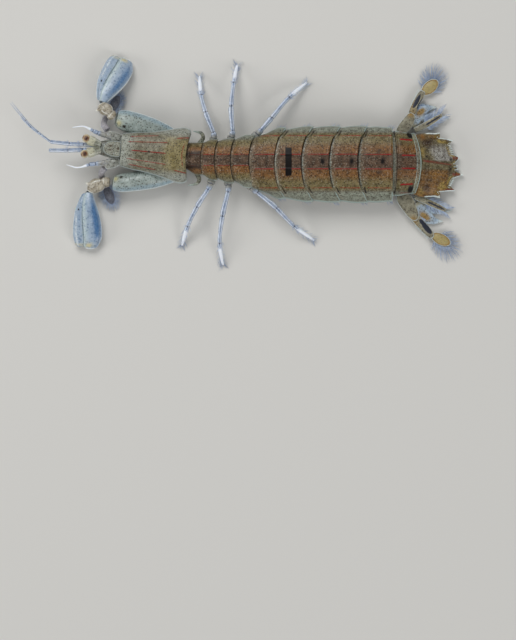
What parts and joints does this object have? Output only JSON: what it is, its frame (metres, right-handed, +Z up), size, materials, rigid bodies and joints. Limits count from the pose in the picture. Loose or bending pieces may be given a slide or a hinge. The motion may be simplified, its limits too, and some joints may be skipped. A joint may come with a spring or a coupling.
{
  "type": "mantis shrimp",
  "caption": "Life-size still model of a small mantis shrimp resting on its belly, claws swung out to both sides, tail fan spread.",
  "frame": {"origin": "on the table, at the middle of the whole outline seen from above", "axes": "+X runs from head to tail, +Y is the animal's right-hand side, +Z is up"},
  "size_m": [0.0684, 0.0314, 0.0063],
  "materials": {
    "back": "satin translucent shell, brown and olive with red lines",
    "shield": "satin translucent shell, olive grey with dark dots",
    "claw": "smooth blue-white shell with a pale rim",
    "merus": "satin grey-green shell with dark dots",
    "limb": "pale blue-white translucent shell",
    "underside": "pale grey shell and flesh",
    "eye": "glossy brown cornea",
    "tail": "satin amber and brown shell with a white rim",
    "fin": "thin blue-white blades with hair fringes",
    "leaf": "thin translucent leaves"
  },
  "bodies": {
    "root": {"abdomen_ring_1": "back", "abdomen_ring_2": "back", "abdomen_ring_3": "back", "abdomen_ring_4": "back", "abdomen_ring_5": "back", "abdomen_ring_6": "back", "antenna_left": "limb", "antenna_right": "limb", "antennal_scale_left": "fin", "antennal_scale_right": "fin", "antennule_left": "limb", "antennule_right": "limb", "carapace": "shield", "cephalothorax": "underside", "claw_carpus_left": "merus", "claw_carpus_right": "merus", "claw_dactylus_left": "claw", "claw_dactylus_right": "claw", "claw_merus_left": "merus", "claw_merus_right": "merus", "claw_propodus_left": "claw", "claw_propodus_right": "claw", "cornea_left": "eye", "cornea_right": "eye", "eyestalk_left": "underside", "eyestalk_right": "underside", "leg_left_1": "limb", "leg_left_2": "limb", "leg_left_3": "limb", "leg_right_1": "limb", "leg_right_2": "limb", "leg_right_3": "limb", "maxilliped_large_left": "leaf", "maxilliped_large_right": "leaf", "maxilliped_small_left": "leaf", "maxilliped_small_right": "leaf", "pleopod_1_left": "leaf", "pleopod_1_right": "leaf", "pleopod_2_left": "leaf", "pleopod_2_right": "leaf", "pleopod_3_left": "leaf", "pleopod_3_right": "leaf", "pleopod_4_left": "leaf", "pleopod_4_right": "leaf", "pleopod_5_left": "leaf", "pleopod_5_right": "leaf", "rostral_plate": "shield", "telson": "tail", "thorax_ring_5": "back", "thorax_ring_6": "back", "thorax_ring_7": "back", "thorax_ring_8": "back", "uropod_base_left": "fin", "uropod_base_right": "fin", "uropod_endopod_left": "fin", "uropod_endopod_right": "fin", "uropod_exopod_left": "fin", "uropod_exopod_right": "fin", "uropod_exopod_tip_left": "fin", "uropod_exopod_tip_right": "fin"}
  },
  "joints": []
}
